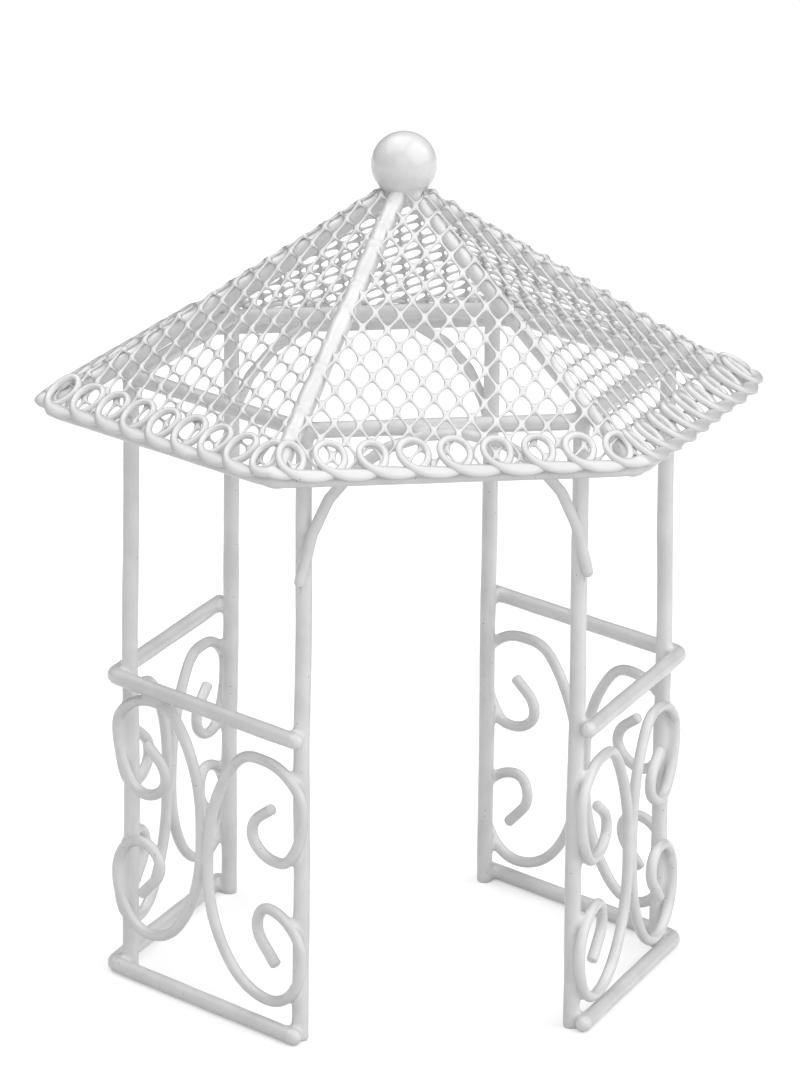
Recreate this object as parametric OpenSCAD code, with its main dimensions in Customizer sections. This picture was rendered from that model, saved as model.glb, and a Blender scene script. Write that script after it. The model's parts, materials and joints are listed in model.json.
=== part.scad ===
// Doll's-house garden gazebo, six sided, bent and welded from coated wire.
// +Z is up, the open front faces -Y, and the feet stand on z = 0.

/* [Frame] */
// distance from the middle to each post
post_radius = 51.1; // [46:0.1:60]
// height of the top ring's centreline
ring_z = 116.4; // [100:0.1:130]
// thickness of the coated rods
rod_d = 3.05; // [2.6:0.05:3.6]
// how far a rail runs on past the post it ends on
rail_over = 2; // [1:0.1:4]

/* [Scrolls] */
// thickness of the scroll and arch wire
wire_d = 2.1; // [1.6:0.05:2.4]
// height of a scroll
scroll_h = 46; // [38:0.5:54]
// height of the shorter scroll by the back left post
short_scroll_h = 43; // [38:0.5:54]
// ground to the foot of each scroll beside an open post
front_left_post_lift = 6.5; // [4:0.1:10]
front_right_post_lift = 4.6; // [4:0.1:10]
back_left_post_lift = 9.6; // [4:0.1:12]
back_right_post_lift = 5.5; // [4:0.1:10]
// ground to the foot of each scroll beside a corner post
front_left_corner_lift = 10; // [4:0.1:10]
front_right_corner_lift = 4.8; // [4:0.1:10]
back_left_corner_lift = 7.4; // [4:0.1:10]
back_right_corner_lift = 5.9; // [4:0.1:10]
// how far a scroll swings out past the middle of its post
post_swing = 1.4; // [0.5:0.1:4]
// the same for the front scroll on a corner post
corner_swing = 0.9; // [0:0.1:1]
// how far the back scroll on a corner post stops short of the post's middle
corner_tuck = 0.4; // [0.3:0.1:2]
// width and height of the curl at the top of a scroll
top_curl_w = 14.9; // [12:0.1:17]
top_curl_h = 18.7; // [15:0.1:20]
// width and height of the curl at the foot of a scroll
low_curl_w = 13.2; // [10:0.1:15]
low_curl_h = 17.8; // [15:0.1:20]
// straight tail at each end of a scroll
curl_tail = 4.5; // [3:0.1:6]

/* [Arches] */
// straight leg below each spring of an arch
arch_leg = 1.5; // [0.5:0.1:6]
// drop of an arch's crown below the top ring
arch_drop = 0.7; // [0:0.1:1.5]

/* [Roof] */
// slope of the hip ribs
rib_slope = 31.4; // [25:0.1:36]
// how far a rib runs on past the ring
rib_over = 5.9; // [4:0.1:9]
// how far the corners of the eave stand out past the posts
eave_over = 16.9; // [13:0.1:26]
// thickness of the mesh
mesh_t = 0.7; // [0.5:0.05:1.2]
// cell of the mesh across and down the slope
cell_w = 4.55; // [4:0.05:7]
cell_h = 7.85; // [6:0.05:11]
// turn of the mesh on the front panel; it runs on round the other panels as one bent sheet
mesh_turn = -9; // [-30:1:30]
// width of the strands, and of the bonds where they meet
strand_w = 0.55; // [0.5:0.05:0.9]
bond_w = 1.2; // [1:0.05:1.8]
// clearance between the mesh and the ball
mesh_gap = 0.8; // [0.4:0.1:3]
// solid strip along the edges of a mesh panel
hem = 0.9; // [0.6:0.1:2]
// thickness of the rod under the eave
rim_d = 2.2; // [1.8:0.05:3]

/* [Trim and ball] */
// thickness of the trim wire
trim_d = 1.4; // [1:0.05:1.8]
// length of trim taken by one loop
loop_pitch = 7.5; // [6:0.1:10]
// size across one loop
loop_w = 5.7; // [4.8:0.1:7]
// how far the trim stands out past the mesh
trim_over = 1.2; // [0.5:0.1:2]
// size across the ball
ball_d = 12.4; // [10:0.1:16]

/* [Hidden] */
// welded joints sink this far into each other
seat = 0.05;
side = post_radius;
apothem = post_radius * cos(30);
rod_r = rod_d / 2;
wire_r = wire_d / 2;
wrap_r = rod_d - seat;
lay = rod_r + wire_r - seat;
// the handrail rests on the tallest scroll
mid_z = rod_r + wire_r - seat + max(
    scroll_h + max(front_left_post_lift, front_right_post_lift, back_right_post_lift),
    scroll_h + max(front_left_corner_lift, front_right_corner_lift),
    scroll_h + max(back_left_corner_lift, back_right_corner_lift),
    short_scroll_h + back_left_post_lift);
// the two scrolls of a panel meet in its middle
spine_u = side / 2 - (wire_d - seat) / 2;
rib_z = ring_z + (rod_d - seat) / cos(rib_slope);
rib_start = rod_d - seat;
apex_z = rib_z + post_radius * tan(rib_slope);
// the ball sits on the upper edges of the ribs' ends
ball_seat = rib_start + rod_r * sin(rib_slope);
ball_z = apex_z - rib_start * tan(rib_slope) + rod_r * cos(rib_slope)
    + sqrt(ball_d * ball_d / 4 - ball_seat * ball_seat) - seat;
roof_slope = atan(tan(rib_slope) / cos(30));
eave_radius = post_radius + eave_over;
// slope length of a mesh panel from the middle to the eave
fall = eave_radius * cos(30) / cos(roof_slope);
mesh_z = rod_r - seat;
// the mesh stops short of where the ball comes down to it
mesh_start = mesh_gap - (ball_z - apex_z) * sin(roof_slope)
    + sqrt(pow(ball_d / 2, 2) - pow((ball_z - apex_z) * cos(roof_slope) - mesh_z - mesh_t, 2));
// keeps neighbouring panels from cutting into each other over a rib
hem_gap = mesh_t * tan(asin(sin(roof_slope) / 2)) + 0.02;
trim_z = mesh_z + mesh_t + trim_d / 2 - seat;
trim_fall = fall + trim_over - trim_d / 2;
trim_run = trim_fall * cos(roof_slope) / cos(30);
loops = round(trim_run / loop_pitch);
pitch = (trim_run - trim_d) / loops;
// half the turn of the trim's outer sweeps
sweep = 66;
loop_r = loop_w / 2;
sweep_r = loop_r + pitch / 2 / sin(sweep);
$fn = 48;

// a quarter turn that ends f further on and g to the side, as two tangent arcs
// with a straight where the quarter is too long for them
function quarter(f, g) =
    let(a = min(f, 1.6 * g), b = min(g, 1.6 * f))
    concat(
        f > a ? [[f - a]] : [],
        [[1.7071 * a - 0.7071 * b, 45], [1.7071 * b - 0.7071 * a, 45]],
        g > b ? [[g - b]] : []);

module arc(r, angle, d, lap) {
    more = lap / r * 180 / PI;
    translate([r, 0, 0])
        rotate([0, -more, 0])
            rotate([90, 0, 0])
                mirror([1, 0, 0])
                    rotate_extrude(angle = angle + more)
                        translate([r, 0])
                            circle(d = d);
}

// wire along +Z that bends towards +X: [length] is a straight, [radius, angle] a bend;
// each stretch starts a hair inside the last one, and every second one is a hair
// thicker, so that the stretches join cleanly
module wire(steps, d, i = 0) {
    if (i < len(steps)) {
        s = steps[i];
        w = d + (i % 2) * 0.02;
        lap = i > 0 ? 0.03 : 0;
        if (len(s) == 1) {
            translate([0, 0, -lap])
                cylinder(h = s[0] + lap, d = w);
            translate([0, 0, s[0]])
                wire(steps, d, i + 1);
        } else {
            arc(s[0], s[1], w, lap);
            translate([s[0], 0, 0])
                rotate([0, s[1], 0])
                    translate([-s[0], 0, 0])
                        wire(steps, d, i + 1);
        }
    }
}

module at_post(angle) {
    rotate([0, 0, angle])
        translate([post_radius, 0, 0])
            children();
}

module post(angle) {
    color("white")
        at_post(angle)
            cylinder(h = ring_z - rod_r + seat, d = rod_d);
}

// one rod round the outside of three posts, from the front post to the back one
module rail(right, z) {
    color("white")
        at_panel(right, 0)
            translate([side + rail_over, -wrap_r, z])
                rotate([-90, 0, 90])
                    wire([[side + rail_over], [wrap_r, 60], [side + rail_over]], rod_d);
}

module ring() {
    color("white")
        for (i = [0:5]) {
            rotate([0, 0, 60 * i + 30])
                translate([apothem, 0, ring_z])
                    rotate([90, 0, 0])
                        cylinder(h = side, d = rod_d, center = true);
            rotate([0, 0, 60 * i])
                translate([post_radius, 0, ring_z])
                    sphere(d = rod_d + 0.1);
        }
}

module arch(turn) {
    r = side / 2;
    color("white")
        rotate([0, 0, turn])
            translate([-r, -apothem - lay, ring_z - arch_drop - r - arch_leg])
                wire([[arch_leg], [r, 180], [arch_leg]], wire_d);
}

// the way round a scroll from its upper tail, spine at x = 0 and post side at x = w;
// crest is how far in from the post side the lower curl has its top
module scroll(w, h, dip, crest) {
    in_x = w - top_curl_w;
    in_z = h - 0.78 * top_curl_h;
    dip_z = h - top_curl_h;
    out_z = h - 0.37 * top_curl_h;
    peak_x = 0.5 * w;
    spine_z = 0.45 * h;
    foot_x = w - 0.75 * low_curl_w;
    low_z = 0.57 * low_curl_h;
    low_in_x = w - low_curl_w;
    low_in_z = 0.79 * low_curl_h;
    bend = 3.9;
    start_x = in_x + curl_tail * sin(58) + bend * (1 - cos(58));
    start_z = in_z + curl_tail * cos(58) + bend * sin(58);
    steps = concat(
        [[curl_tail], [bend, 58]],
        quarter(in_z - dip_z, w - dip - in_x),
        quarter(dip, out_z - dip_z),
        quarter(h - out_z, w - peak_x),
        quarter(peak_x, h - spine_z),
        quarter(spine_z, foot_x),
        quarter(w - foot_x, low_z),
        quarter(low_curl_h - low_z, crest),
        quarter(low_curl_w - crest, low_curl_h - low_in_z),
        [[bend, 49], [curl_tail + 1]]);
    translate([start_x, 0, start_z])
        rotate([0, -122, 0])
            rotate([0, 0, 180])
                wire(steps, wire_d);
}

// panel between a corner post at the origin and an open post along +X, outside at -Y
module at_panel(right, back) {
    mirror([right, 0, 0])
        mirror([0, back, 0])
            at_post(180)
                rotate([0, 0, 120])
                    children();
}

module post_scroll(right, back, lift, h) {
    color("white")
        at_panel(right, back)
            translate([side - spine_u, -lay, lift])
                scroll(spine_u + post_swing, h, 0.45 * top_curl_w, 0.75 * low_curl_w);
}

// the scroll next to it, on the corner post, faces the other way
module corner_scroll(right, back, lift) {
    color("white")
        at_panel(right, back)
            translate([spine_u, -lay, lift])
                mirror([1, 0, 0])
                    scroll(spine_u + (back ? -corner_tuck : corner_swing), scroll_h,
                        0.55 * top_curl_w, 0.6 * low_curl_w);
}

module rib(angle) {
    run = (post_radius + rib_over - rib_start) / cos(rib_slope);
    color("white")
        rotate([0, 0, angle])
            translate([rib_start, 0, apex_z - rib_start * tan(rib_slope)])
                rotate([0, 90 + rib_slope, 0]) {
                    cylinder(h = run, d = rod_d);
                    translate([0, 0, run])
                        sphere(d = rod_d - 0.1);
                }
}

// panel frame: origin in the middle over the ribs' axes, +X down the slope, +Z out of the roof
module on_roof(angle) {
    rotate([0, 0, angle])
        translate([0, 0, apex_z])
            rotate([0, roof_slope, 0])
                children();
}

module mesh_outline(inset_by) {
    half = tan(30) * cos(roof_slope);
    a = mesh_start + inset_by;
    b = fall - inset_by;
    e = (hem_gap + inset_by) / cos(atan(half));
    polygon([[a, a * half - e], [b, b * half - e], [b, e - b * half], [a, e - a * half]]);
}

// one opening of the mesh: six sides, long way down the slope
module cell() {
    y = (cell_w - bond_w) / 2;
    // the slanted sides lie a strand's width from those of the next cells
    rise = strand_w * sqrt(1 + pow(cell_h / cell_w, 2) / 2) / 2;
    x = cell_h / 2 - bond_w * 0.55;
    k = (cell_h / 2 - x) * 2 - rise * 0.8;
    polygon([[x, 0], [k, y], [-k, y], [-x, 0], [-k, -y], [k, -y]]);
}

// cells of the sheet that have their middle on this panel, the given number of hips from the front
module cells(hips) {
    half = tan(30) * cos(roof_slope);
    turn = mesh_turn - hips * 2 * atan(half);
    reach = fall / cos(atan(half));
    rows = ceil(reach / cell_h * 2);
    across = ceil(reach / cell_w);
    for (i = [-rows:rows], j = [-across:across]) {
        u = i * cell_h / 2;
        v = (j + (i % 2) / 2) * cell_w;
        x = u * cos(turn) - v * sin(turn);
        y = u * sin(turn) + v * cos(turn);
        if (x > mesh_start && x < fall - hem && abs(y) < x * half - hem)
            translate([x, y])
                rotate(turn)
                    cell();
    }
}

module mesh(angle, hips) {
    color("white")
        on_roof(angle)
            translate([0, 0, mesh_z])
                linear_extrude(height = mesh_t)
                    difference() {
                        mesh_outline(0);
                        intersection() {
                            mesh_outline(hem);
                            cells(hips);
                        }
                    }
}

module rim() {
    color("white")
        for (i = [0:5])
            on_roof(60 * i + 30)
                translate([fall - rim_d / 2, 0, mesh_z - rim_d / 2 + seat]) {
                    rotate([90, 0, 0])
                        cylinder(h = eave_radius - rim_d / 2, d = rim_d, center = true);
                    translate([0, (eave_radius - rim_d / 2 * cos(roof_slope) * tan(30) * 2) / 2, 0])
                        sphere(d = rim_d + 0.1);
                }
}

// one bent wire: a wide sweep along the edge, a loop back over the mesh, and so on
module trim(angle) {
    steps = concat(
        [[sweep_r, sweep]],
        [for (i = [1:2 * loops - 1])
            i % 2 == 1 ? [loop_r, 360 - 2 * sweep] : [sweep_r, 2 * sweep]],
        [[sweep_r, sweep]]);
    color("white")
        on_roof(angle)
            translate([trim_fall, -pitch * loops / 2, trim_z])
                rotate([-90, 0, 0])
                    rotate([0, 0, 180])
                        wire(steps, trim_d);
}

module ball() {
    color("white")
        translate([0, 0, ball_z])
            sphere(d = ball_d, $fn = 72);
}

post(240);  // front_left_post
post(180);  // left_corner_post
post(120);  // back_left_post
post(300);  // front_right_post
post(0);  // right_corner_post
post(60);  // back_right_post
rail(0, rod_r);  // left_base_rail
rail(1, rod_r);  // right_base_rail
rail(0, mid_z);  // left_mid_rail
rail(1, mid_z);  // right_mid_rail
ring();  // top_ring
arch(0);  // front_arch
arch(180);  // back_arch
post_scroll(0, 0, front_left_post_lift, scroll_h);  // front_left_post_scroll
corner_scroll(0, 0, front_left_corner_lift);  // front_left_corner_scroll
post_scroll(0, 1, back_left_post_lift, short_scroll_h);  // back_left_post_scroll
corner_scroll(0, 1, back_left_corner_lift);  // back_left_corner_scroll
post_scroll(1, 0, front_right_post_lift, scroll_h);  // front_right_post_scroll
corner_scroll(1, 0, front_right_corner_lift);  // front_right_corner_scroll
post_scroll(1, 1, back_right_post_lift, scroll_h);  // back_right_post_scroll
corner_scroll(1, 1, back_right_corner_lift);  // back_right_corner_scroll
rib(240);  // front_left_rib
rib(180);  // left_rib
rib(120);  // back_left_rib
rib(300);  // front_right_rib
rib(0);  // right_rib
rib(60);  // back_right_rib
mesh(270, 0);  // front_mesh
mesh(330, 1);  // front_right_mesh
mesh(30, 2);  // back_right_mesh
mesh(90, 3);  // back_mesh
mesh(150, -2);  // back_left_mesh
mesh(210, -1);  // front_left_mesh
rim();  // eave_rim
trim(270);  // front_trim
trim(330);  // front_right_trim
trim(30);  // back_right_trim
trim(90);  // back_trim
trim(150);  // back_left_trim
trim(210);  // front_left_trim
ball();  // ball_finial
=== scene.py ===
import bmesh
import bpy
import json
import numpy as np
from mathutils import Matrix


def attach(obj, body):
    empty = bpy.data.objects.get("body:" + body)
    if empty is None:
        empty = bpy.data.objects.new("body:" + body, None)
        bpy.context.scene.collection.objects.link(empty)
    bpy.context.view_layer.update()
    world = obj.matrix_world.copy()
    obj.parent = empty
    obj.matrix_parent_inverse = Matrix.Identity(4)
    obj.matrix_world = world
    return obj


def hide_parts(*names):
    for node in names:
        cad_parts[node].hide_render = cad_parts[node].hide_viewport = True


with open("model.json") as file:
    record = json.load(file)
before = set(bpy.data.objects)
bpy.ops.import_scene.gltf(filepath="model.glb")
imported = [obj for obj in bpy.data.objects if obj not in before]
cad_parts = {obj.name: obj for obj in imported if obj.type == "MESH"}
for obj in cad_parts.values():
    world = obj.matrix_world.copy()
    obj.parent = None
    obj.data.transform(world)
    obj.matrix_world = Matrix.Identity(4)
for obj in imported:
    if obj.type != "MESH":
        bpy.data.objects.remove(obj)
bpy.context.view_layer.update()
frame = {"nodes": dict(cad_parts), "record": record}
print("frame loaded:", len(frame["nodes"]), "CAD nodes")

mm = 0.001

# sizes of the CAD model that the new pieces have to meet, in mm
gazebo = {
    "postRadius": 51.1,      # middle of the footprint to each post
    "ringHeight": 116.4,
    "rodRadius": 1.525,
    "wireRadius": 1.05,
    "railHeights": [1.525, 58.525],
    "railOver": 2.0,         # how far a rail runs past the post it ends on
    "archDrop": 0.7,         # crown of an arch below the ring
    "archLeg": 1.5,
    "ribSlope": 31.4,        # degrees
    "ribOver": 5.9,          # how far a rib runs past the ring
    "eaveRadius": 68.0,
    "rimRadius": 1.1,        # rod under the eave
    "eaveCorner": 8.0,       # radius of the eave's corners, as bent by hand
    "ballRadius": 6.2,
    "seat": 0.05,            # how far touching pieces sink into each other
}
rodR, wireR = gazebo["rodRadius"], gazebo["wireRadius"]
postR, ringZ, seat = gazebo["postRadius"], gazebo["ringHeight"], gazebo["seat"]
apothem = postR * np.cos(np.pi / 6)
ribTilt = np.radians(gazebo["ribSlope"])
roofTilt = np.arctan(np.tan(ribTilt) / np.cos(np.pi / 6))      # slope of a panel's fall line
apexZ = ringZ + (2 * rodR - seat) / np.cos(ribTilt) + postR * np.tan(ribTilt)
fall = gazebo["eaveRadius"] * np.cos(np.pi / 6) / np.cos(roofTilt)  # apex to eave down the slope
halfSpread = np.tan(np.pi / 6) * np.cos(roofTilt)              # half width of a panel per mm of fall
hipStretch = np.hypot(1, halfSpread)                           # length of a hip per mm of fall
mitre = np.arcsin(np.sin(roofTilt) / 2)                        # half the fold over a hip
ribStart = 2 * rodR - seat                                     # from the middle to a rod's blunt end
ballZ = (apexZ - ribStart * np.tan(ribTilt) + rodR * np.cos(ribTilt) - seat
         + np.sqrt(gazebo["ballRadius"] ** 2 - (ribStart + rodR * np.sin(ribTilt)) ** 2))
# degrees round from +X to the middle of each roof panel, and to each post
panels = {"front": 270, "front_right": 330, "back_right": 30,
          "back": 90, "back_left": 150, "front_left": 210}
posts = {"front_left": 240, "left": 180, "back_left": 120,
         "front_right": 300, "right": 0, "back_right": 60}


# materials

def linearColour(hexCode):
    # sRGB to linear: ((c + 0.055) / 1.055)^2.4, or c / 12.92 close to black
    srgb = np.array([int(hexCode[k:k + 2], 16) for k in (1, 3, 5)]) / 255
    return (*np.where(srgb < 0.04045, srgb / 12.92, ((srgb + 0.055) / 1.055) ** 2.4), 1)


def addNode(tree, kind, settings={}, **inputs):
    # one node with its settings; an input is a value, or another node's socket to link from
    node = tree.nodes.new("ShaderNode" + kind)
    for name, value in settings.items():
        setattr(node, name, value)
    for name, value in inputs.items():
        socket = node.inputs[int(name[5:])] if name.startswith("input") else node.inputs[name]
        if isinstance(value, bpy.types.NodeSocket):
            tree.links.new(value, socket)
        else:
            socket.default_value = value
    return node


# what all coats share; sizes in mm
enamelLook = {
    "patches": 9,                # where the coat stands thinner or thicker
    "duller": 0.12,              # how much rougher the thick patches are
    "gritCell": 1.6,             # one grain sits in some cells of this size
    "grain": [0.055, 0.1],       # core and soft edge of a grain, in cells: coarser than real, to show
    "grainColour": "#8f8d88",
    "grainDepth": 0.8,
    # the grey rim is a painted reflection of the darker room, mixed into the base colour towards the
    # outline
    "rimColour": "#7c7c7c",
    "rimStart": 0.3,             # where the painted reflection, a grey rim, starts: 0 faces the eye, 1 is edge on
    "peelSize": 1.1,             # bumps of the orange peel
    "runSize": 5,                # slow runs in the coat
    "runHeight": 4,              # of the runs, in heights of the peel
    "glaze": [0.6, 0.1],         # weight and roughness of the glossy top
}


def enamel(name, colour, pooled, roughness, peel, grit, rim):
    # white enamel sprayed and dipped over steel wire: a soft, thick skin with a fine orange peel, a
    # little greyer in patches, with dark specks of grit caught in it. The thin grey rim is a painted
    # reflection: it stands for the darker room that the coat mirrors where it turns away from the eye.
    # It is mixed into the base colour by Layer Weight, so it depends on the view and a bake loses it;
    # rim=0 takes it out
    look = enamelLook
    material = bpy.data.materials.new(name)
    material.use_nodes = True
    tree = material.node_tree
    tree.nodes.clear()
    place = addNode(tree, "TexCoord").outputs["Object"]
    patches = addNode(tree, "TexNoise", Vector=place, Scale=1 / (look["patches"] * mm), Detail=3.0,
                      Roughness=0.55)
    tone = addNode(tree, "MapRange", {"interpolation_type": "SMOOTHSTEP"}, Value=patches.outputs["Fac"],
                   **{"From Min": 0.35, "From Max": 0.7})
    body = addNode(tree, "Mix", {"data_type": "RGBA"}, Factor=tone.outputs["Result"],
                   input6=linearColour(colour), input7=linearColour(pooled))
    cells = addNode(tree, "TexVoronoi", Vector=place, Scale=1 / (look["gritCell"] * mm), Randomness=1.0)
    some = addNode(tree, "Math", {"operation": "GREATER_THAN"}, input0=cells.outputs["Color"],
                   input1=grit)
    core, edge = look["grain"]
    spot = addNode(tree, "MapRange", Value=cells.outputs["Distance"],
                   **{"From Min": core, "From Max": edge, "To Min": look["grainDepth"], "To Max": 0.0})
    speck = addNode(tree, "Math", {"operation": "MULTIPLY"}, input0=spot.outputs["Result"],
                    input1=some.outputs["Value"])
    skin = addNode(tree, "Mix", {"data_type": "RGBA"}, Factor=speck.outputs["Value"],
                   input6=body.outputs[2], input7=linearColour(look["grainColour"]))
    # painted reflection: the base colour turns grey towards the outline, by Layer Weight's Facing
    grazing = addNode(tree, "LayerWeight", Blend=0.5)
    turned = addNode(tree, "MapRange", Value=grazing.outputs["Facing"],
                     **{"From Min": look["rimStart"], "From Max": 1.0, "To Min": 0.0, "To Max": rim})
    paintedReflectionMix = addNode(tree, "Mix", {"data_type": "RGBA"}, Factor=turned.outputs["Result"],
                     input6=skin.outputs[2], input7=linearColour(look["rimColour"]))
    gloss = addNode(tree, "MapRange", Value=patches.outputs["Fac"],
                    **{"From Min": 0.3, "From Max": 0.7,
                       "To Min": roughness, "To Max": roughness + look["duller"]})
    fine = addNode(tree, "TexNoise", Vector=place, Scale=1 / (look["peelSize"] * mm), Detail=2.0,
                   Roughness=0.5)
    runs = addNode(tree, "TexNoise", Vector=place, Scale=1 / (look["runSize"] * mm), Detail=1.0,
                   Roughness=0.5)
    low = addNode(tree, "Bump", Height=runs.outputs["Fac"], Strength=1.0,
                  Distance=look["runHeight"] * peel * mm)
    high = addNode(tree, "Bump", Height=fine.outputs["Fac"], Strength=1.0, Distance=peel * mm,
                   Normal=low.outputs["Normal"])
    weight, smooth = look["glaze"]
    shader = addNode(tree, "BsdfPrincipled", Roughness=gloss.outputs["Result"],
                     Normal=high.outputs["Normal"], IOR=1.5,
                     **{"Base Color": paintedReflectionMix.outputs[2], "Coat Weight": weight, "Coat Roughness": smooth})
    addNode(tree, "OutputMaterial", Surface=shader.outputs["BSDF"])
    return material


# peel is the height of the orange peel in mm; a higher grit leaves fewer grains; rim is the depth of
# the painted reflection, a grey rim at the very edge
coats = {
    "rod_coat": enamel("dippedEnamelOnRod", colour="#f3f3f3", pooled="#e8e8e8",
                       roughness=0.34, peel=0.035, grit=0.56, rim=0.35),
    "wire_coat": enamel("dippedEnamelOnWire", colour="#f3f3f3", pooled="#e8e8e8",
                        roughness=0.34, peel=0.03, grit=0.6, rim=0.35),
    "mesh_coat": enamel("sprayedEnamelOnMesh", colour="#f0f0f0", pooled="#e8e8e8",
                        roughness=0.42, peel=0.02, grit=0.7, rim=1.0),
    "trim_coat": enamel("dippedEnamelOnTrim", colour="#f0f0f0", pooled="#e8e8e8",
                        roughness=0.34, peel=0.025, grit=0.7, rim=0.6),
    "ball_coat": enamel("polishedEnamelOnBall", colour="#f3f3f3", pooled="#efefef",
                        roughness=0.2, peel=0.01, grit=0.75, rim=0.2),
}
nodeSlots = {part["node"]: part["material_slot"] for part in frame["record"]["subparts"]}
for name, node in frame["nodes"].items():
    node.data.materials.clear()
    node.data.materials.append(coats[nodeSlots[name]])
print("enamel coats made:", len(coats))


# building pieces

def putMesh(name, points, faces, slot, replaced=()):
    # points in mm and faces as index rows; doubles are merged, cut ends are closed flat and all faces
    # are turned outwards
    faces = np.asarray(faces)
    mesh = bpy.data.meshes.new(name)
    mesh.from_pydata((np.asarray(points).reshape(-1, 3) * mm).tolist(), [], faces.tolist())
    mesh.polygons.foreach_set("use_smooth", np.ones(len(mesh.polygons), bool))
    work = bmesh.new()
    work.from_mesh(mesh)
    bmesh.ops.remove_doubles(work, verts=work.verts, dist=0.002 * mm)
    caps = bmesh.ops.holes_fill(work, edges=[e for e in work.edges if e.is_boundary], sides=0)["faces"]
    for cap in caps:
        cap.smooth = False
        for edge in cap.edges:
            edge.smooth = False
    bmesh.ops.recalc_face_normals(work, faces=work.faces)
    work.to_mesh(mesh)
    work.free()
    mesh.materials.append(coats[slot])
    piece = bpy.data.objects.new(name, mesh)
    bpy.context.scene.collection.objects.link(piece)
    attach(piece, "root")
    if replaced:
        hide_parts(*replaced)
    return piece


def gridFaces(rows, columns, wrap):
    # quads of a grid of points, numbered row by row; wrap joins the last column to the first
    r, c = np.meshgrid(np.arange(rows - 1), np.arange(columns - (0 if wrap else 1)), indexing="ij")
    right = (c + 1) % columns
    return np.stack([r * columns + c, r * columns + right,
                     (r + 1) * columns + right, (r + 1) * columns + c], -1).reshape(-1, 4)


def unit(v):
    # a vector over its own length
    return v / np.maximum(np.linalg.norm(v, axis=-1, keepdims=True), 1e-9)


dome = np.radians([88, 65, 40, 20])     # the extra rings that close each end of a wire
domeHeight = 0.4                        # of a wire's end, in radii


def sweep(path, radius, up, sides=16, closed=False, wide=1):
    # a round wire: path point + radius * (cos of the angle * side + sin of the angle * up), each ring
    # square to the path and wide times as wide as high; open ends are domed by extra rings of
    # radius * cos of the dome's angle, set out by domeHeight * radius * sin of it
    radius = np.broadcast_to(radius, len(path)).astype(float)
    wide = np.broadcast_to(wide, len(path) + (0 if closed else 2 * len(dome)))[:, None, None]
    up = np.broadcast_to(up, path.shape)
    if closed:
        along = unit(np.roll(path, -1, 0) - np.roll(path, 1, 0))
    else:
        along = unit(np.gradient(path, axis=0))
        head = path[0] - along[0] * domeHeight * radius[0] * np.sin(dome)[:, None]
        tail = path[-1] + along[-1] * domeHeight * radius[-1] * np.sin(dome[::-1])[:, None]
        path = np.vstack([head, path, tail])
        radius = np.hstack([radius[0] * np.cos(dome), radius, radius[-1] * np.cos(dome[::-1])])
        along, up = (np.vstack([np.repeat(v[:1], len(dome), 0), v, np.repeat(v[-1:], len(dome), 0)])
                     for v in (along, up))
    side = unit(np.cross(along, up))
    up = np.cross(side, along)
    turn = np.linspace(0, 2 * np.pi, sides, endpoint=False)
    rings = path[:, None] + radius[:, None, None] * (
        wide * np.cos(turn)[None, :, None] * side[:, None] + np.sin(turn)[None, :, None] * up[:, None])
    if closed:
        rings = np.vstack([rings, rings[:1]])
    return rings, gridFaces(len(rings), sides, True)


def ripple(length, seed, scale):
    # a smooth random number along a wire, about -1 to 1: a sum of sines with random phase, whose
    # lengths are 1, 1.7 and 2.9 times the scale
    dice = np.random.default_rng(seed)
    waves = [np.sin(length / (scale * s) * 2 * np.pi + dice.uniform(0, 6.28)) for s in (1, 1.7, 2.9)]
    return np.sum(waves, 0) / 2


def onRoof(angle, x, y, z):
    # panel frame to the world: x down the slope from the apex, y across, z out of the roof
    a = np.radians(angle)
    out = x * np.cos(roofTilt) + z * np.sin(roofTilt)
    return np.stack([out * np.cos(a) - y * np.sin(a), out * np.sin(a) + y * np.cos(a),
                     apexZ - x * np.sin(roofTilt) + z * np.cos(roofTilt)], -1)


def atPanel(right, back, u, v, z):
    # panel frame to the world: u from the corner post towards the open post, v inwards, z up
    x = u / 2 + v * np.cos(np.pi / 6) - postR
    y = v / 2 - u * np.cos(np.pi / 6)
    return np.stack([-x if right else x, -y if back else y, np.broadcast_to(z, np.shape(x))], -1)


def bentWire(steps, start, heading):
    # middle line of a wire bent in one plane: [length] is a straight, point + s * length * direction,
    # and [radius, degrees] a bend to the left, hub + radius * (cos, sin) of the turning angle
    path, point, angle = [np.array([start])], np.array(start, float), np.radians(heading)
    for step in steps:
        s = np.linspace(0, 1, 12)[1:, None]
        if len(step) == 1:
            piece = point + s * step[0] * np.array([-np.sin(angle), np.cos(angle)])
        else:
            turn = np.radians(step[1])
            hub = point - step[0] * np.array([np.cos(angle), np.sin(angle)])
            piece = hub + step[0] * np.hstack([np.cos(angle + turn * s), np.sin(angle + turn * s)])
            angle += turn
        path.append(piece)
        point = piece[-1]
    return np.vstack(path)


def evenPath(path, spacing, rounding):
    # the same line with even spacing, smoothed by a bell as wide as the rounding
    path = path[np.r_[True, np.linalg.norm(np.diff(path, axis=0), axis=1) > 1e-4]]
    length = np.r_[0, np.cumsum(np.linalg.norm(np.diff(path, axis=0), axis=1))]
    at = np.linspace(0, length[-1], int(length[-1] / spacing) + 1)
    even = np.stack([np.interp(at, length, c) for c in path.T], -1)
    reach = int(3 * rounding / spacing)
    bell = np.exp(-(np.arange(-reach, reach + 1) * spacing / rounding) ** 2 / 2)
    padded = np.vstack([2 * even[0] - even[reach:0:-1], even, 2 * even[-1] - even[-2:-reach - 2:-1]])
    return np.stack([np.convolve(c, bell / bell.sum(), "valid") for c in padded.T], -1)


# posts, rails, ring, arches and rim

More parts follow.
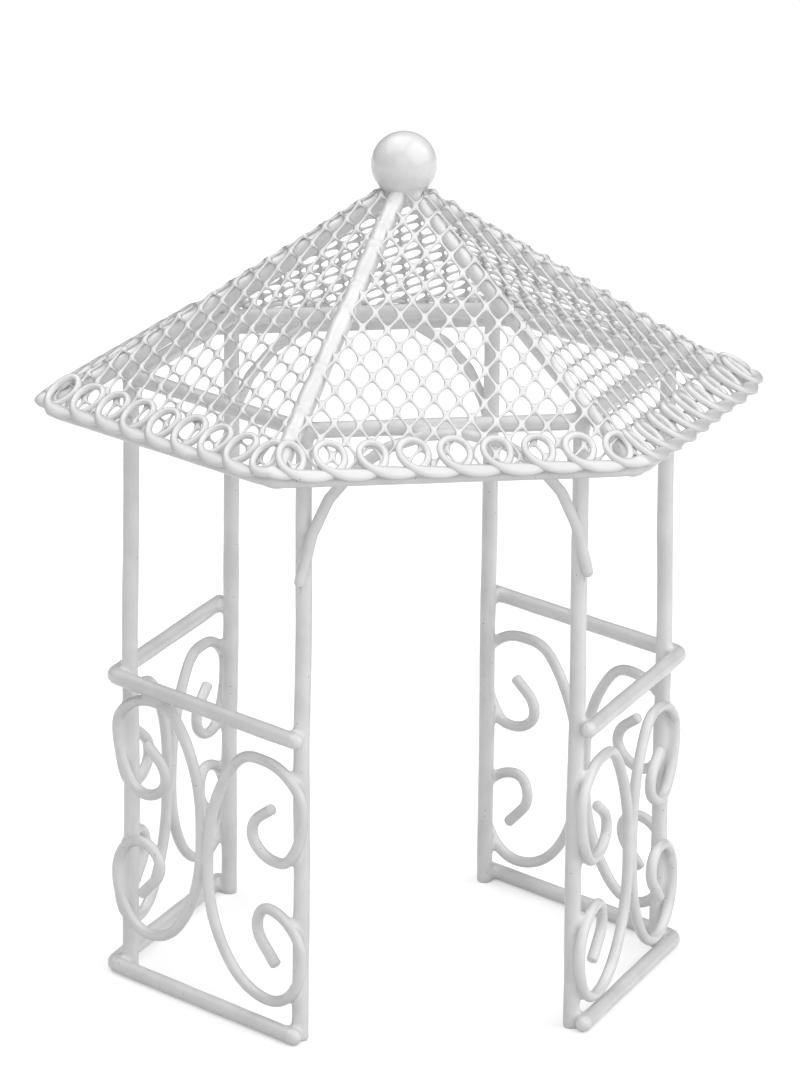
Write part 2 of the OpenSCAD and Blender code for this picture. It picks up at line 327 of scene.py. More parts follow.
frameLook = {
    "step": 0.8,             # between the rings of a rod, mm
    "swell": 0.022,          # how far the coat swells and shrinks, as a share of the radius
    "swellLength": 13,
    "sway": 0.2,             # how far a hand-straightened post strays in the middle of its height
    "swayLength": [50, 60],  # of the waves that it strays by, along x and along y
    "foot": 0.6,             # room for the domes at a post's foot and head
    "head": 0.4,
    "railShort": 0.2,        # how much sooner a rail's dome starts
    "railBend": 0.5,         # how far hand bending evens out the corner of a rail
    "bend": 0.4,             # and the corners of the ring, the rim and the arches
    "ringCorner": 2.5,
    "flare": 1.1,            # how far the feet of an arch turn out
    "flareHeight": 11,
}
wires = {}      # middle line and radii of every rod and wire, for the paint at their joints


def coatedWire(name, line, radius, up, slot, replaced, sides=20, closed=False):
    # a wire in a thick coat, so its radius swells and shrinks by a few hundredths
    length = np.r_[0, np.cumsum(np.linalg.norm(np.diff(line, axis=0), axis=1))]
    radii = radius * (1 + frameLook["swell"] * ripple(length, len(wires), frameLook["swellLength"]))
    wires[name] = line, radii
    rings, faces = sweep(line, radii, up, sides, closed)
    return putMesh(name, rings, faces, slot, replaced)


def roundedHexagon(reach, corner):
    # six sides at this distance from the middle, with rounded corners over the posts
    half = (reach - corner) * np.tan(np.pi / 6)
    steps = [[half]] + [[corner, 60], [2 * half]] * 5 + [[corner, 60], [half]]
    x, y = evenPath(bentWire(steps, [reach, 0], 0), frameLook["step"], frameLook["bend"])[:-1].T
    c, s = np.cos(np.pi / 6), np.sin(np.pi / 6)
    return c * x - s * y, s * x + c * y


level = np.array([0, 0, 1.0])
for seed, (name, angle) in enumerate(posts.items()):
    z = np.arange(frameLook["foot"], ringZ - frameLook["head"], frameLook["step"])
    a, belly = np.radians(angle), frameLook["sway"] * np.sin(np.pi * z / ringZ)
    alongX, alongY = frameLook["swayLength"]
    line = np.stack([postR * np.cos(a) + belly * ripple(z, seed, alongX),
                     postR * np.sin(a) + belly * ripple(z, seed + 20, alongY), z], -1)
    label = name if name not in ("left", "right") else name + "_corner"
    coatedWire(label + "_post_coated", line, rodR, [1.0, 0, 0], "rod_coat", [label + "_post"],
               sides=24)

wrapR = 2 * rodR - seat
run = postR + gazebo["railOver"] - frameLook["railShort"]
start = atPanel(0, 0, run, -wrapR, 0)[:2]
flat = evenPath(bentWire([[run], [-wrapR, -60], [run]], start, 30),
                frameLook["step"], frameLook["railBend"])
for side, way in (("left", 1), ("right", -1)):
    for height, z in zip(("base", "mid"), gazebo["railHeights"]):
        line = np.stack([way * flat[:, 0], flat[:, 1], np.full(len(flat), z)], -1)
        coatedWire(f"{side}_{height}_rail_coated", line, rodR, level, "rod_coat",
                   [f"{side}_{height}_rail"], sides=24)

x, y = roundedHexagon(apothem, frameLook["ringCorner"])
coatedWire("top_ring_coated", np.stack([x, y, np.full(len(x), ringZ)], -1), rodR, level, "rod_coat",
           ["top_ring"], sides=24, closed=True)
rimR = gazebo["rimRadius"]
rimOut, _, rimZ = onRoof(0, fall - rimR, 0, rodR - rimR)
x, y = roundedHexagon(rimOut, gazebo["eaveCorner"])
coatedWire("eave_rim_coated", np.stack([x, y, np.full(len(x), rimZ)], -1), rimR, level, "rod_coat",
           ["eave_rim"], sides=16, closed=True)

half, leg = postR / 2, gazebo["archLeg"]
foot = ringZ - gazebo["archDrop"] - half - leg
flat = evenPath(bentWire([[leg], [half, 180], [leg]], [half, foot], 0),
                frameLook["step"], frameLook["bend"])
# the feet of an arch turn out by flare * (1 - height / flareHeight)^2
nearFoot = np.clip(1 - (flat[:, 1] - foot) / frameLook["flareHeight"], 0, 1)
flat[:, 0] += np.sign(flat[:, 0]) * frameLook["flare"] * nearFoot ** 2
lay = rodR + wireR - seat    # wire laid on a rod, middle to middle
for name, way in (("front", 1), ("back", -1)):
    line = np.stack([way * flat[:, 0], np.full(len(flat), -way * (apothem + lay)), flat[:, 1]], -1)
    coatedWire(name + "_arch_wire", line, wireR, [0, -1.0, 0], "wire_coat", [name + "_arch"])
print("frame made")


def cornerInset(across):
    # how far the eave's rounded corner falls short of the sharp one at this distance from a panel's
    # middle: (r - sqrt(r^2 - s^2)) up the slope, where s is the way past the start of the bend, kept
    # to 0.9 r
    bend = gazebo["eaveCorner"]
    past = np.clip(np.abs(across) - fall * halfSpread + bend * np.tan(np.pi / 6), 0, 0.9 * bend)
    return (bend - np.sqrt(bend ** 2 - past ** 2)) / np.cos(roofTilt)


# roof mesh

meshLook = {
    "cellAcross": 4.55,      # middle to middle, mm
    "cellDown": 7.85,
    "turn": -9,              # of the sheet on the front panel, degrees; it bends on round the others
    "bondLength": 0.5,       # where two strands run side by side
    "bondWidth": 1.3,
    "strandWidth": 0.48,
    "strandThick": 0.46,
    "bondThick": 1.0,
    "thickFade": 0.8,        # how far round a bond its thickness reaches
    "bondEnd": 1.14,         # from the middle of a bond to the flat end of the opening below it
    "rounding": 16.0,        # lower rounds the corners of the openings more
    "height": 2.0,           # middle of the mesh over the ribs' axes
    "top": 3.7,              # where it starts, from the apex
    "eaveShort": 0.3,        # how far short of the eave it ends
    "sag": 0.16,             # how far it strays up and down between the ribs
    "sagAcross": 0.6,        # and sideways, as a share of that
    "sagFade": 6,            # how far from a hip it starts to
    # mm down and across for one radian of the sines that it strays by: along x, along y and up
    "sagWaves": [[6.1, 4.3], [5.2, 6.7], [9, 7]],
    # rings of faces round an opening, as shares of the way from its edge to its tile's
    "rings": [0, 0.12, 0.45, 1],
}


def meshTile():
    # half steps of the lattice, and half a bond; normals and distances of the three pairs of walls of
    # its six-sided tile
    a, b, half = meshLook["cellDown"] / 2, meshLook["cellAcross"] / 2, meshLook["bondLength"] / 2
    slant = unit(np.array([b, a - 2 * half]))
    reach = slant @ [half, b]
    return a, b, half, np.array([[0, 1], slant, slant * [1, -1]]), np.array([b, reach, reach])


def sheetTurn(angle):
    # how far the sheet is turned on a panel: once more for each hip that it has been bent over
    hips = (angle - 120) % 360 // 60 - 2
    turn = np.radians(meshLook["turn"]) - hips * 2 * np.arctan(halfSpread)
    return np.array([[np.cos(turn), np.sin(turn)], [-np.sin(turn), np.cos(turn)]])


def strandGap(points):
    # distance from points on the flat sheet to the middle of the nearest strand or bond
    a, b, half, normals, reach = meshTile()
    i, j = np.meshgrid(np.arange(-1, 2), np.arange(-1, 2))
    row = np.round(points[:, 0] / a)[:, None] + i.ravel()
    column = np.round((points[:, 1:] / b - row % 2) / 2) + j.ravel()
    away = points[:, None] - np.stack([row * a, (2 * column + row % 2) * b], -1)
    return (reach - np.abs(away @ normals.T)).min(2).max(1)


def meshPanel(name, angle):
    # expanded mesh: every opening is a ring of faces from the rounded hole's edge out to the six-sided
    # tile around it. A point is hole + s * (tile - hole), and its height over the middle of the sheet is
    # thickness / 2 * sqrt(1 - (1 - s)^2), so strands are rounded and neighbours meet without a crease.
    look = meshLook
    a, b, half, normals, reach = meshTile()
    corners = np.array([[half, b], [-half, b], [half - a, 0], [-half, -b], [half, -b], [a - half, 0]])
    counts = [3, 5, 5, 3, 5, 5]     # points on each side of the tile
    tile = np.vstack([corners[k] + (corners[(k + 1) % 6] - corners[k]) * np.arange(n)[:, None] / n
                      for k, n in enumerate(counts)])
    width = np.array([look["bondWidth"], look["strandWidth"], look["strandWidth"]])
    walls = np.vstack([normals, -normals, [[1, 0], [-1, 0]]])
    depth = np.hstack([np.tile(reach - width / 2, 2), np.repeat(a - look["bondEnd"], 2)])
    towards = unit(tile)
    near = np.maximum(towards @ walls.T, 0) / depth
    hole = towards / (near ** look["rounding"]).sum(1)[:, None] ** (1 / look["rounding"])
    # distance from each tile point to the nearest bond sets the thickness there
    bonds = np.array([[[-half, b], [half, b]], [[-half, -b], [half, -b]],
                      [[a - half, 0], [a + half, 0]], [[-a - half, 0], [half - a, 0]]])
    dx = np.maximum(np.maximum(bonds[:, 0, 0] - tile[:, :1], tile[:, :1] - bonds[:, 1, 0]), 0)
    gap = np.hypot(dx, tile[:, 1:] - bonds[:, 0, 1]).min(1)
    nearBond = np.exp(-(gap / look["thickFade"]) ** 2)
    thick = look["strandThick"] + (look["bondThick"] - look["strandThick"]) * nearBond
    s = np.array(look["rings"])
    ring = hole + s[:, None, None] * (tile - hole)
    rise = np.sqrt(1 - (1 - s) ** 2)[:, None] * thick / 2
    # one sheet, unrolled: rotated about the point where the hips meet, once for each hip it has been
    # bent over
    count = int(fall * hipStretch / b / 2) + 3
    i, j = [k.ravel() for k in np.meshgrid(np.arange(-count, count), np.arange(-count, count))]
    spin = sheetTurn(angle)
    start = np.array([-look["height"] * np.tan(mitre) * hipStretch / halfSpread, 0])
    middle = np.stack([i * a, (2 * j + i % 2) * b], -1) @ spin + start
    wanted = ((np.abs(middle[:, 1]) < middle[:, 0] * halfSpread + 2 * a)
              & (middle[:, 0] > look["top"] - a) & (middle[:, 0] < fall + a))
    flat = middle[wanted][:, None, None] + ring @ spin
    # it strays by sines of x and y that die out towards the hips, where the panels meet
    x, y = flat[..., 0], flat[..., 1]
    inner = np.clip((halfSpread * x - np.abs(y)) / look["sagFade"], 0, 1) * look["sag"]
    phase = np.radians(angle) * 3
    xWave, yWave, zWave = look["sagWaves"]
    x, y, lift = (x + inner * look["sagAcross"] * np.sin(x / xWave[0] + y / xWave[1] + phase),
                  y + inner * look["sagAcross"] * np.sin(x / yWave[0] - y / yWave[1]),
                  inner * np.sin(x / zWave[0] + phase) * np.cos(y / zWave[1] + 1))
    eave = fall - look["eaveShort"] - cornerInset(y)
    points, outside = [], []
    for side in (1, -1):
        z = look["height"] + lift + side * rise
        edge = halfSpread * x + z * np.tan(mitre) * hipStretch
        points.append(np.stack([np.clip(x, look["top"], eave), np.clip(y, -edge, edge), z], -1))
        outside.append((np.abs(y) >= edge) | (x <= look["top"]) | (x >= eave))
    one = gridFaces(len(s), len(tile), True)
    starts = np.arange(len(flat)) * len(s) * len(tile)
    quads = (one[None] + starts[:, None, None]).reshape(-1, 4)
    faces = np.vstack([quads, quads[:, ::-1] + x.size])
    faces = faces[~np.stack(outside).ravel()[faces].all(1)]
    used, faces = np.unique(faces, return_inverse=True)
    points = onRoof(angle, *np.stack(points).reshape(-1, 3)[used].T)
    return putMesh(name, points, faces.reshape(-1, 4), "mesh_coat", [name.replace("_sheet", "")])


for name, angle in panels.items():
    meshPanel(name + "_mesh_sheet", angle)
print("roof mesh made")


# ribs

ribLook = {
    "lump": 0.34,            # how high the paint stands where strands of the mesh cross a rib, mm
    "lumpWidth": 0.8,
    "lumpVary": [0.8, 0.3],  # of that height: the middle, and how far it goes up and down
    "lumpLength": 12,        # of the waves that it goes up and down by
    "uneven": 0.05,          # of the paint between the lumps
    "unevenLength": 7,
    "cover": [0.5, 0.75],    # share of the paint at a rib's sides, and how much more it is on top
    "stations": 230,         # rings along a rib
    "start": 1.6,            # from the middle, inside the foot of the ball
    "runsOn": 8.6,           # past the overhang of its rod, to the rim under the eave's corner
    "wide": 0.8,             # of its height: the ribs read narrower than the posts
    "flooded": {"front_left": 0.9},     # ribs with the mesh sunk in paint along their whole back
}


def coatedRib(name, angle, seed):
    # a rod whose radius grows by lump * exp(-(distance to a strand / width)^2) where the mesh crosses it,
    # weighted to its upper side by the two numbers of cover: first + height over the rib's middle /
    # radius * second, kept to 0 to 1
    look = ribLook
    length = (postR + gazebo["ribOver"] + look["runsOn"] - look["start"]) / np.cos(ribTilt)
    u = np.linspace(0, length, look["stations"])
    # the same place on the unrolled sheet, which lies square over the rib
    along = u + look["start"] / np.cos(ribTilt) + meshLook["height"] / np.cos(roofTilt) * np.sin(ribTilt)
    gap = strandGap(along[:, None] * unit(np.array([1, -halfSpread])) @ sheetTurn(angle + 30).T)
    usual, more = look["lumpVary"]
    high = look["lump"] * (usual + more * ripple(u, seed, look["lumpLength"]))
    lump = high * np.exp(-(gap / look["lumpWidth"]) ** 2)
    lump += look["flooded"].get(name, 0)
    a = np.radians(angle)
    out = np.array([np.cos(a), np.sin(a), 0])
    along = out * np.cos(ribTilt) - np.array([0, 0, 1]) * np.sin(ribTilt)
    up = out * np.sin(ribTilt) + np.array([0, 0, 1]) * np.cos(ribTilt)
    path = out * look["start"] + [0, 0, apexZ - look["start"] * np.tan(ribTilt)] + along * u[:, None]
    wires[name + "_rib_coated"] = path, np.full(len(path), rodR)
    rings, faces = sweep(path, rodR, up, sides=24, wide=look["wide"])
    ends = len(dome)
    offset = rings[ends:-ends] - path[:, None]
    beside, above = look["cover"]
    weight = np.clip(beside + (offset @ up) / rodR * above, 0, 1)
    paint = lump + look["uneven"] * ripple(u, seed, look["unevenLength"])
    rings[ends:-ends] += offset / rodR * (weight * paint[:, None])[..., None]
    return putMesh(name + "_rib_coated", rings, faces, "rod_coat", [name + "_rib"])


for seed, (name, angle) in enumerate(posts.items()):
    coatedRib(name, angle, seed + 11)
print("ribs made")


# looped trim

trimLook = {
    "loops": 54,             # round the whole eave
    "wire": 0.66,            # radius, mm
    "swing": 4.4,            # half the width that the wire swings to and fro along the eave
    "deep": 4.2,             # half the depth of the loops
    "crescent": 1.25,        # how much wider the paint makes the outer sweeps, in wire widths
    "crescentTurn": 0.7,     # how far round a loop a crescent reaches, radians
    "crescentIn": 0.9,       # how far it moves the sweep's middle up the slope, in wire radii
    "over": 0.4,             # middle of the outer sweeps past the mesh
    "lift": 0.42,            # half the step where the wire crosses over itself
    "height": 2.75,          # middle over the ribs' axes
    "corner": 7.0,           # length of trim that each corner of the eave bends
    "wobble": 0.12,          # of the loops, which are bent by eye
    "sizeWobble": 0.35,      # its share in a loop's width and depth
    "turnWobble": 0.12,      # and in how soon a loop turns
    "wobbleLength": 9,       # of its waves, in radians of the loops' turn
    "swell": 0.05,           # of the wire's radius, as a share of it
    "swellLength": 5,        # in radians too
    "stations": 64,          # rings in a loop
}


def eaveTrim():
    # one long wire bent in loops: along the eave u = pitch * t / 2pi + swing * sin t, up the slope
    # y = deep * (1 - cos t), and out of the roof z = -lift * sin t, so each outer sweep lies over the
    # next; paint fills each outer sweep to a crescent, by exp(-(t / crescentTurn)^2)
    look = trimLook
    edge = fall + look["over"]
    side = 2 * edge * halfSpread
    t = np.linspace(0, 2 * np.pi * look["loops"], look["loops"] * look["stations"], endpoint=False)
    pitch = 6 * side / look["loops"]
    wobble = look["wobble"] * ripple(t, 5, look["wobbleLength"])
    size = 1 + look["sizeWobble"] * wobble
    u = pitch * t / (2 * np.pi) + look["swing"] * size * np.sin(t + look["turnWobble"] * wobble)
    bottom = (np.mod(t + np.pi, 2 * np.pi) - np.pi) / look["crescentTurn"]
    filled = look["crescent"] * np.exp(-bottom ** 2)
    y = look["deep"] * (1 - size * np.cos(t)) + look["crescentIn"] * look["wire"] * filled
    z = look["height"] - look["lift"] * np.sin(t)
    panel = np.floor(u / side)
    across = u - (panel + 0.5) * side
    x = edge - cornerInset(across) - y
    # towards a corner the wire leans in along the hip, and its height turns to the hip's own direction
    lean = np.clip((np.abs(across) - side / 2 + look["corner"]) / look["corner"], 0, 1) ** 2
    across = across - np.sign(across) * y * halfSpread * lean
    across = across + np.sign(across) * z * np.tan(mitre) * hipStretch * lean
    path = np.zeros((len(t), 3))
    up = np.zeros((len(t), 3))
    for k, angle in enumerate(sorted(panels.values())):
        here = panel % 6 == k
        path[here] = onRoof(angle, x[here], across[here], z[here])
        up[here] = onRoof(angle, 0, 0, 1) - onRoof(angle, 0, 0, 0)
    # bending by hand rounds every kink a little, here over four rings each way by exp(-(k / 2)^2); the
    # wire's twist is evened out over three times as many
    near = np.arange(-4, 5)
    blur = np.exp(-(near / 2) ** 2)
    blur /= blur.sum()
    path = sum(w * np.roll(path, k, 0) for k, w in zip(near, blur))
    up = unit(sum(w * np.roll(up, 3 * k, 0) for k, w in zip(near, blur)))
    radius = look["wire"] * (1 + look["swell"] * ripple(t, 8, look["swellLength"]))
    rings, faces = sweep(path, radius, up, sides=12, closed=True, wide=1 + filled)
    return putMesh("eave_trim_wire", rings, faces, "trim_coat", [p + "_trim" for p in panels])


eaveTrim()
print("trim made")


# scrolls

scrollLook = {
    "topCurl": [14.9, 18.7],     # width and height, mm
    "lowCurl": [13.2, 17.8],
    "tail": [4.5, 5.5],          # length of the upper and of the lower tail
    "bend": 3.9,
    "spine": 24.525,             # corner post to the middle of a scroll's spine
    "tailTurn": [58, 49],        # how far the upper and the lower tail's bend goes round, degrees
    "rounding": 0.9,             # how far hand bending evens out the curve
    "step": 0.4,                 # between the rings of a scroll
}
# each scroll: right side, at the back, beside the corner post, foot height, height, reach past the post
scrolls = {
    "front_left_post_scroll": [0, 0, 0, 6.5, 46, 1.4],
    "front_left_corner_scroll": [0, 0, 1, 10, 46, 0.9],
    "back_left_post_scroll": [0, 1, 0, 9.6, 43, 1.4],
    "back_left_corner_scroll": [0, 1, 1, 7.4, 46, -0.4],
    "front_right_post_scroll": [1, 0, 0, 4.6, 46, 1.4],
    "front_right_corner_scroll": [1, 0, 1, 4.8, 46, 0.9],
    "back_right_post_scroll": [1, 1, 0, 5.5, 46, 1.4],
    "back_right_corner_scroll": [1, 1, 1, 5.9, 46, -0.4],
}


def quarter(forward, sideways):
    # a quarter turn as two tangent arcs, with a straight where it is too long for them
    f, g = min(forward, 1.6 * sideways), min(sideways, 1.6 * forward)
    # radii that join a vertical f long and a level g wide over two bends of 45 degrees
    first, second = 1.7071 * f - 0.7071 * g, 1.7071 * g - 0.7071 * f
    return ([[forward - f]] * (forward > f) + [[first, 45], [second, 45]]
            + [[sideways - g]] * (sideways > g))


def scrollPath(corner, height, reach):
    # from the upper tail round the top curl, down the spine and round the lower curl to its tail;
    # x runs from the spine to the post, z up from the foot. The points where one arc goes over into
    # the next are shares of the curls' width and height, as measured in the photograph
    look = scrollLook
    (topW, topH), (lowW, lowH), bend = look["topCurl"], look["lowCurl"], look["bend"]
    (tail, lowTail), (topTurn, lowTurn) = look["tail"], look["tailTurn"]
    w = postR - look["spine"] + reach if not corner else look["spine"] + reach
    dip, crest = (0.55 * topW, 0.6 * lowW) if corner else (0.45 * topW, 0.75 * lowW)
    inX, inZ, dipZ, outZ = w - topW, height - 0.78 * topH, height - topH, height - 0.37 * topH
    spineZ, footX, lowZ = 0.45 * height, w - 0.75 * lowW, 0.57 * lowH
    a = np.radians(topTurn)
    start = [inX + tail * np.sin(a) + bend * (1 - np.cos(a)), inZ + tail * np.cos(a) + bend * np.sin(a)]
    steps = ([[tail], [bend, topTurn]] + quarter(inZ - dipZ, w - dip - inX) + quarter(dip, outZ - dipZ)
             + quarter(height - outZ, 0.5 * w) + quarter(0.5 * w, height - spineZ)
             + quarter(spineZ, footX) + quarter(w - footX, lowZ) + quarter(lowH - lowZ, crest)
             + quarter(lowW - crest, 0.21 * lowH) + [[bend, lowTurn], [lowTail]])
    return bentWire(steps, start, 180 - topTurn)


for name, (right, back, corner, lift, height, reach) in scrolls.items():
    flat = evenPath(scrollPath(corner, height, reach), scrollLook["step"], scrollLook["rounding"])
    u = postR - scrollLook["spine"] + flat[:, 0] if not corner else scrollLook["spine"] - flat[:, 0]
    line = atPanel(right, back, u, -lay, lift + flat[:, 1])
    outward = atPanel(right, back, 0, -1, 0) - atPanel(right, back, 0, 0, 0)
    coatedWire(name.replace("_scroll", "_scroll_wire"), line, wireR, outward, "wire_coat", [name])
print("scrolls made")


# paint and weld in the joints

jointLook = {
    "touching": 0.4,         # wires this near to each other count as welded, mm
    "longRun": 0.5,          # joints longer than this are painted along their run
    "reach": 4.4,            # how far from a joint of two rods the paint still thickens them
    "beyond": 2,             # how far past that the wires are still looked at
    "blend": 1.9,            # size of the fillet between two rods
    "sunk": 0.02,            # how far the ends of the paint lie under the wires' own skin
    "wireShare": 0.8,        # size of the paint where one of the two is a thin wire
    "sameSpot": 3,           # meetings this near to each other are painted as one
    "overFloor": 0.02,
    "apexDrop": 0.3,         # middle of the paint under the ball, below the apex
    "apexReach": 7.6,
    "apexBlend": 2.2,
    "rows": 23,              # of the paint's grid from pole to pole
    "columns": 44,           # and round it
    "steps": 26,             # looked at from the middle outwards
}


def meetings(first, second):
    # the stretches where two wires run within touching distance: middle, direction and length of each
    (a, aR), (b, bR) = wires[first], wires[second]
    gap = np.linalg.norm(a[:, None] - b[None], axis=2)
    near = gap.argmin(1)
    close = gap.min(1) < aR + bR[near] + jointLook["touching"]
    for run in np.split(np.arange(len(a)), np.flatnonzero(np.diff(close)) + 1):
        if close[run[0]]:
            share = (aR[run] / (aR[run] + bR[near[run]]))[:, None]
            touch = a[run] * (1 - share) + b[near[run]] * share
            yield touch.mean(0), touch[-1] - touch[0]


def depth(points, line, radii):
    # distance from each point to the nearest stretch of a wire, less its radius
    a, b = line[:-1, None], line[1:, None]
    along = b - a
    t = np.clip(((points - a) * along).sum(-1) / (along ** 2).sum(-1), 0, 1)
    return (np.linalg.norm(points - a - t[..., None] * along, axis=-1) - radii[:-1, None]).min(0)


def jointPaint(centre, run, reach, blend):
    # the skin of a smooth union of the wires round a joint, as the distance r from its centre in each
    # direction: union(a, b) = min(a, b) - h^2 k / 4 with h = max(k - |a - b|, 0) / k, where the fillet
    # k = blend * (1 - (r / reach)^2) dies out along the wires; long joints are stretched along the run
    length = np.linalg.norm(run)
    axis = run / length if length > jointLook["longRun"] else level
    side = unit(np.cross(axis, [0.3, 0.9, 0.31]))     # a direction that no wire runs in
    t, p = np.meshgrid(np.linspace(0, np.pi, jointLook["rows"]),
                       np.linspace(0, 2 * np.pi, jointLook["columns"], endpoint=False), indexing="ij")
    t, p = t[..., None], p[..., None]
    towards = (np.sin(t) * (np.cos(p) * side + np.sin(p) * np.cross(axis, side))
               + (1 + length / 2 / reach) * np.cos(t) * axis).reshape(-1, 3)
    steps = np.linspace(0, 1, jointLook["steps"])
    points = centre + (steps[:, None, None] * reach * towards).reshape(-1, 3)
    fillet = np.repeat(np.maximum(blend * (1 - steps ** 2), 1e-4), len(towards))
    span = reach + length / 2
    field = None
    for line, radii in wires.values():
        close = np.flatnonzero(np.linalg.norm(line - centre, axis=1) < span + jointLook["beyond"])
        if len(close) < 2 or np.linalg.norm(line - centre, axis=1).min() > span + radii.max():
            continue
        part = np.r_[close[:-1:2], close[-1]]
        here = depth(points, line[part], radii[part])
        if field is None:
            field = here
        else:
            h = np.maximum(fillet - np.abs(field - here), 0) / fillet
            field = np.minimum(field, here) - h * h * fillet / 4
    field = field.reshape(len(steps), -1) + jointLook["sunk"]
    out = np.maximum((field > 0).argmax(0), 1)
    out = np.where((field > 0).any(0), out, len(steps) - 1)
    ray = np.arange(len(towards))
    inner, outer = field[out - 1, ray], field[out, ray]
    part = np.clip(-inner / np.maximum(outer - inner, 1e-6), 0, 1)
    r = (steps[out - 1] + part * (steps[1] - steps[0])) * reach
    skin = centre + r[:, None] * towards
    skin[:, 2] = np.maximum(skin[:, 2], jointLook["overFloor"])
    return skin


joints = []
names = list(wires)
for k, first in enumerate(names):
    for second in names[k + 1:]:
        if "rib" in first and "rib" in second:
            continue
        for middle, run in meetings(first, second):
            twin = [j for j in joints if np.linalg.norm(j[0] - middle) < jointLook["sameSpot"]]
            if twin:
                twin[0][0] = (twin[0][0] + middle) / 2
            else:
                thin = "scroll" in first + second or "arch" in first + second
                joints.append([middle, run, thin])
points, faces = [], []
one = gridFaces(jointLook["rows"], jointLook["columns"], True)
for k, (middle, run, thin) in enumerate(joints):
    size = jointLook["wireShare"] if thin else 1
    points.append(jointPaint(middle, run, jointLook["reach"] * size, jointLook["blend"] * size))
    faces.append(one + k * len(points[0]))
putMesh("joint_paint", np.vstack(points), np.vstack(faces), "rod_coat")
# the ball counts as a wire of next to no length, so that the paint under it meets it
ball = np.array([[0, 0, ballZ], [0, 0, ballZ + 0.01]])
wires["ball"] = ball, np.full(2, gazebo["ballRadius"])
apex = np.array([0, 0, apexZ - jointLook["apexDrop"]])
apexSkin = jointPaint(apex, np.zeros(3), jointLook["apexReach"], jointLook["apexBlend"])
putMesh("apex_paint", apexSkin, one, "rod_coat")
print("joints painted:", len(joints))


# floor, light and camera

studio = {
    "floorHalf": 3,          # m
    "paper": "#dcdcdc",      # of the floor as the camera sees it, lifted by some light of its own
    "paperLift": 0.45,
    "bounce": "#c2c2c2",     # of the floor as a reflector, which keeps the shaded sides darker
    "room": 0.22,            # light from all round
}
w = studio["floorHalf"]
floorMesh = bpy.data.meshes.new("floor")
floorMesh.from_pydata([(-w, -w, 0), (w, -w, 0), (w, w, 0), (-w, w, 0)], [], [(0, 1, 2, 3)])
floor = bpy.data.objects.new("floor", floorMesh)
bpy.context.scene.collection.objects.link(floor)

paper = bpy.data.materials.new("whitePaperSweep")
paper.use_nodes = True
tree = paper.node_tree
tree.nodes.clear()
ray = addNode(tree, "LightPath")
seen = addNode(tree, "Math", {"operation": "MAXIMUM"}, input0=ray.outputs["Is Camera Ray"],
               input1=ray.outputs["Is Glossy Ray"])
white = addNode(tree, "BsdfDiffuse", Color=linearColour(studio["paper"]))
glow = addNode(tree, "Emission", Color=(1, 1, 1, 1), Strength=studio["paperLift"])
both = addNode(tree, "AddShader", input0=white.outputs[0], input1=glow.outputs[0])
bounced = addNode(tree, "BsdfDiffuse", Color=linearColour(studio["bounce"]))
pick = addNode(tree, "MixShader", Fac=seen.outputs[0], input1=bounced.outputs[0], input2=both.outputs[0])
addNode(tree, "OutputMaterial", Surface=pick.outputs[0])
floorMesh.materials.append(paper)

world = bpy.data.worlds.new("softWhiteRoom")
bpy.context.scene.world = world
world.use_nodes = True
tree = world.node_tree
tree.nodes.clear()
ray = addNode(tree, "LightPath")
seen = addNode(tree, "Math", {"operation": "MAXIMUM"}, input0=ray.outputs["Is Camera Ray"],
               input1=ray.outputs["Is Transmission Ray"])
room = addNode(tree, "Background", Color=(1, 1, 1, 1), Strength=studio["room"])
blank = addNode(tree, "Background", Color=(1, 1, 1, 1), Strength=1.0)
pick = addNode(tree, "MixShader", Fac=seen.outputs[0], input1=room.outputs[0], input2=blank.outputs[0])
addNode(tree, "OutputWorld", Surface=pick.outputs[0])

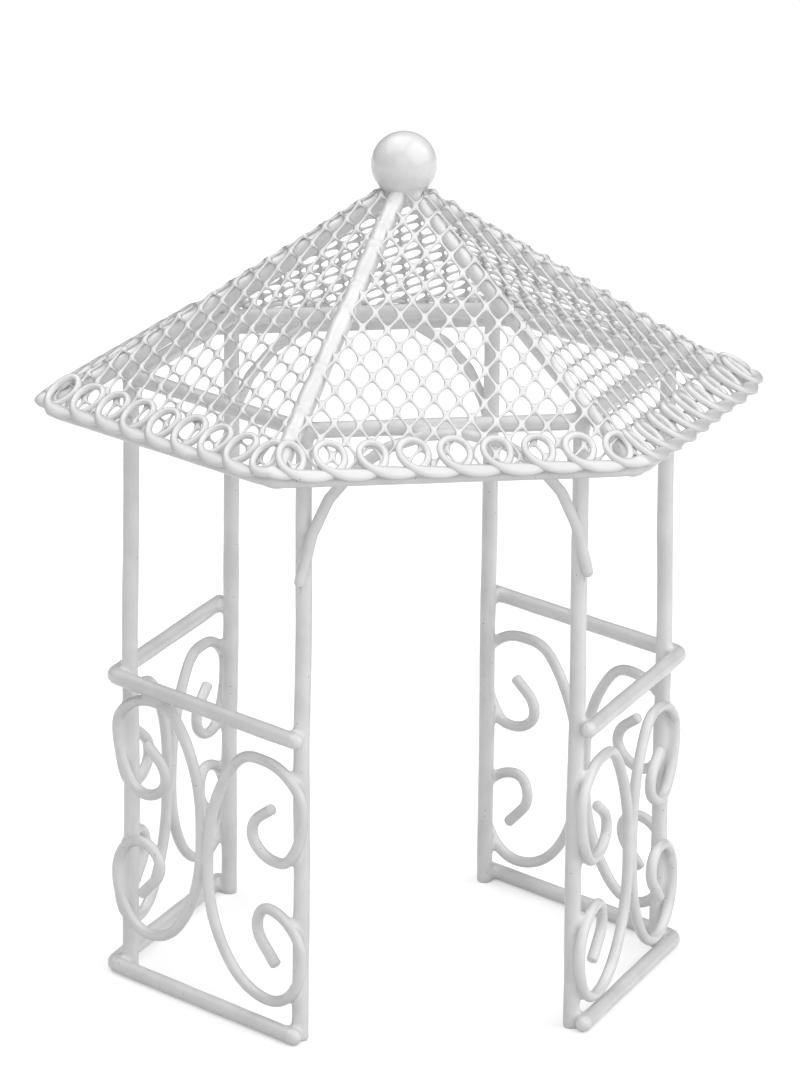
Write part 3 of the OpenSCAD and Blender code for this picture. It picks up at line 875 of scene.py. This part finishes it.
# azimuth and elevation in degrees, distance, width and depth in m, watts; the glints are small, for
# the bright lines along the wires
lamps = {
    "rightKey": [58, 40, 2.4, 3.4, 3.0, 46],
    "topLeftFill": [-120, 70, 2.4, 3.0, 2.4, 34],
    "frontFill": [-15, 16, 2.6, 2.0, 2.0, 13],
    "topGlint": [-150, 66, 2.2, 0.7, 0.6, 2.4],
    "rightGlint": [100, 30, 2.4, 0.4, 0.9, 2.0],
}
lampAim = np.array([0, 0, 0.08])


def facing(azimuth, elevation):
    # unit vector from the object towards a place seen at this azimuth and elevation
    a, e = np.radians(azimuth), np.radians(elevation)
    return np.array([np.sin(a) * np.cos(e), -np.cos(a) * np.cos(e), np.sin(e)])


def aim(item, place, back, roll=0):
    # turns an object so that its -Z looks along -back and its X stays level, then rolls it
    side = unit(np.cross([0, 0, 1], back))
    up = np.cross(back, side)
    c, s = np.cos(np.radians(roll)), np.sin(np.radians(roll))
    turned = np.column_stack([c * side + s * up, c * up - s * side, back])
    item.matrix_world = Matrix.Translation(place) @ Matrix(turned.tolist()).to_4x4()


for name, (azimuth, elevation, distance, width, height, watts) in lamps.items():
    light = bpy.data.lights.new(name, "AREA")
    light.shape = "RECTANGLE"
    light.size, light.size_y = width, height
    light.energy = watts
    lamp = bpy.data.objects.new(name, light)
    bpy.context.scene.collection.objects.link(lamp)
    towards = facing(azimuth, elevation)
    aim(lamp, lampAim + towards * distance, towards)

# the photograph's view: seen from a little left of the front and from above, with a long lens
view = {
    "azimuth": -10.01,
    "elevation": 15.24,
    "roll": 0.63,
    "distance": 1.367,       # m, as are the next two
    "height": 0.0843,        # of the point it looks at
    "clip": 0.05,
    "lens": 244.9,           # mm
}
cameraData = bpy.data.cameras.new("camera")
cameraData.lens = view["lens"]
cameraData.clip_start = view["clip"]
camera = bpy.data.objects.new("camera", cameraData)
bpy.context.scene.collection.objects.link(camera)
towards = facing(view["azimuth"], view["elevation"])
aim(camera, towards * view["distance"] + [0, 0, view["height"]], towards, view["roll"])
bpy.context.scene.camera = camera
bpy.context.scene.view_settings.view_transform = "Standard"
print("lights and camera set")
